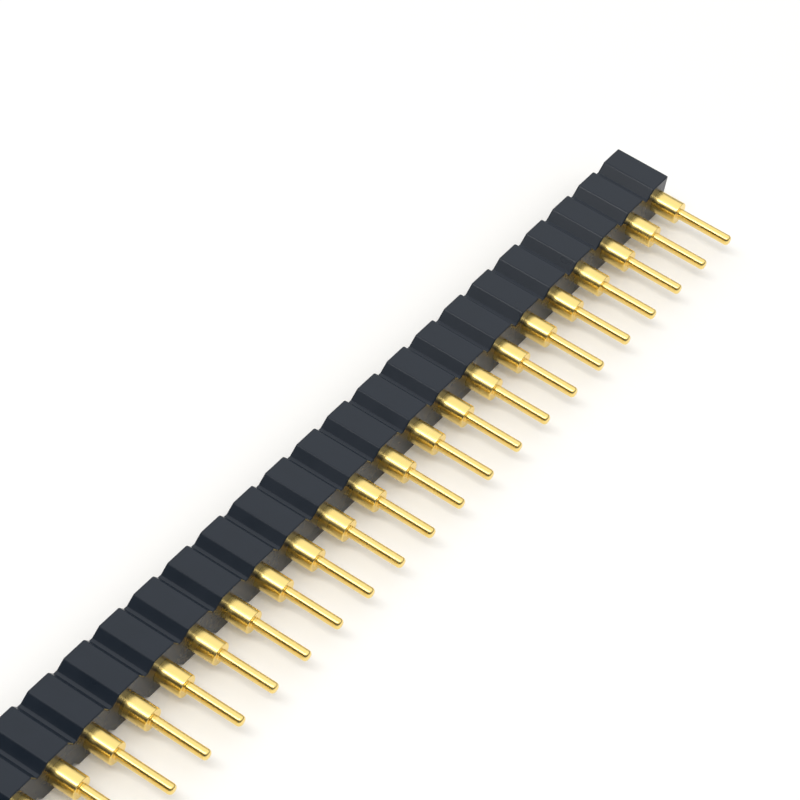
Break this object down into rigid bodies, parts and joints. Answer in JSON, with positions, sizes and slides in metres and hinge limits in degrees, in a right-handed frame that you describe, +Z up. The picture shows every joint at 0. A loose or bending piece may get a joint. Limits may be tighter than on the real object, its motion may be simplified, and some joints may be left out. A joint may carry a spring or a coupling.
{
  "type": "socket strip with turned contacts",
  "caption": "Single-row strip of turned round socket contacts with thin solder tails, pressed into a notched black moulded bar",
  "frame": {"origin": "under the middle of the part, on the surface that it lies on", "axes": "+X along the row of contacts, +Z up out of the surface, the solder tails point to -Y and the sockets open to +Y"},
  "size_m": [0.1006, 0.0076, 0.0025],
  "materials": {
    "housing_plastic": "black moulded thermoplastic with a slight sheen",
    "contact_gold": "turned brass, bright gold flash plating",
    "clip_gold": "thin spring alloy, gold plated"
  },
  "bodies": {
    "root": {"housing": "housing_plastic", "pin_01": "contact_gold", "pin_02": "contact_gold", "pin_03": "contact_gold", "pin_04": "contact_gold", "pin_05": "contact_gold", "pin_06": "contact_gold", "pin_07": "contact_gold", "pin_08": "contact_gold", "pin_09": "contact_gold", "pin_10": "contact_gold", "pin_11": "contact_gold", "pin_12": "contact_gold", "pin_13": "contact_gold", "pin_14": "contact_gold", "pin_15": "contact_gold", "pin_16": "contact_gold", "pin_17": "contact_gold", "pin_18": "contact_gold", "pin_19": "contact_gold", "pin_20": "contact_gold", "pin_21": "contact_gold", "pin_22": "contact_gold", "pin_23": "contact_gold", "pin_24": "contact_gold", "pin_25": "contact_gold", "pin_26": "contact_gold", "pin_27": "contact_gold", "pin_28": "contact_gold", "pin_29": "contact_gold", "pin_30": "contact_gold", "pin_31": "contact_gold", "pin_32": "contact_gold", "pin_33": "contact_gold", "pin_34": "contact_gold", "pin_35": "contact_gold", "pin_36": "contact_gold", "pin_37": "contact_gold", "pin_38": "contact_gold", "pin_39": "contact_gold", "pin_40": "contact_gold", "clips_01_to_10": "clip_gold", "clips_11_to_20": "clip_gold", "clips_21_to_30": "clip_gold", "clips_31_to_40": "clip_gold"}
  },
  "joints": []
}
